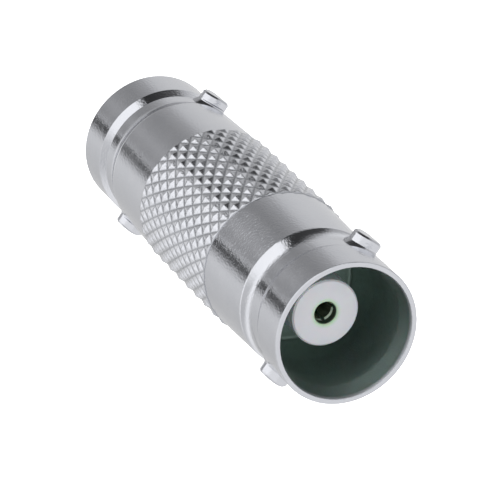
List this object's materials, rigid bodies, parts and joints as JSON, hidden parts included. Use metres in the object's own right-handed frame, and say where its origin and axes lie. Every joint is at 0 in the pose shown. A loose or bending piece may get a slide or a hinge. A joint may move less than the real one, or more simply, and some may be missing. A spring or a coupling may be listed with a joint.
{
  "type": "bnc coupler",
  "caption": "In-line coaxial coupler: a bayonet jack with lugs, insulator and slotted socket contact at each end, and a diamond-knurled grip between them.",
  "frame": {"origin": "centre of the lower rim's face, on the coupler's axis", "axes": "+Z along the coupler's axis to the upper mouth; the lugs lie along +X and -X"},
  "size_m": [0.011, 0.0104, 0.0335],
  "materials": {
    "nickel_plate": "brass, turned and bright nickel plated",
    "knurled_nickel": "brass, diamond knurled and nickel plated",
    "white_insulator": "white, satin",
    "contact_plate": "brass, silver-grey plated"
  },
  "bodies": {
    "root": {"jack_shell_top": "nickel_plate", "jack_shell_bottom": "nickel_plate", "knurled_sleeve": "knurled_nickel", "insulator_top": "white_insulator", "insulator_bottom": "white_insulator", "centre_contact": "contact_plate"}
  },
  "joints": []
}
